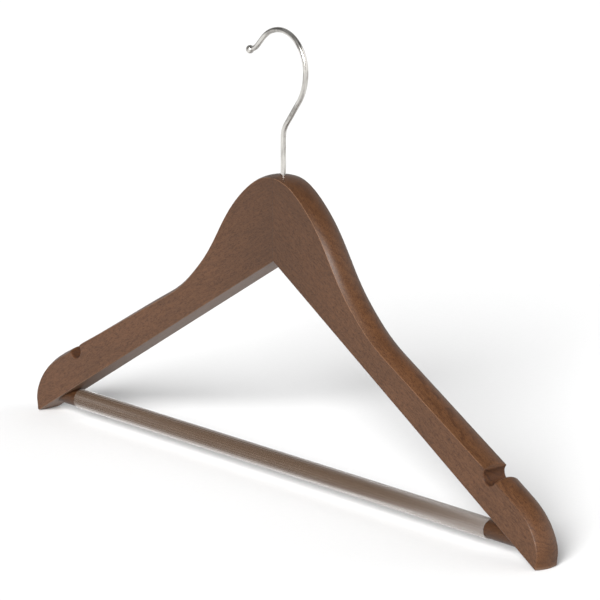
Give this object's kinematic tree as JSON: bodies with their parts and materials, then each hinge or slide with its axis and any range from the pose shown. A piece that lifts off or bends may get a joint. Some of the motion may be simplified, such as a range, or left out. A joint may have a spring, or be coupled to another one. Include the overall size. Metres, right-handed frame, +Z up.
{
  "type": "wooden suit hanger",
  "caption": "Flat wooden clothes hanger with mitred arms, a swivelling wire hook, strap notches and a trouser bar in a ribbed grip sleeve.",
  "frame": {"origin": "on the axis of the hook's shank, level with the inside of the top of the rail bend, where the clothes rail carries the hanger", "axes": "+X along the trouser bar towards the right arm, +Y out of the back face, +Z up along the shank"},
  "size_m": [0.447, 0.0154, 0.2595],
  "materials": {
    "stained_wood": "walnut-stained beech under satin lacquer",
    "plain_beech": "bare, glued in",
    "nickel_wire": "bright nickel plate",
    "zinc_steel": "zinc plated",
    "ribbed_pvc": "smoky clear, finely ribbed along its length"
  },
  "bodies": {
    "swivel_hook": {"hook": "nickel_wire", "hook_nut": "zinc_steel"},
    "hanger": {"right_arm": "stained_wood", "left_arm": "stained_wood", "mitre_tongue": "plain_beech", "hook_washer": "zinc_steel", "trouser_bar": "stained_wood", "grip_sleeve": "ribbed_pvc", "left_brad": "zinc_steel", "right_brad": "zinc_steel"}
  },
  "joints": [
    {"name": "hook_swivel", "type": "hinge", "parent": "swivel_hook", "child": "hanger", "pos_m": [0, 0, -0.1105], "axis": [0, 0, 1], "continuous": true}
  ]
}
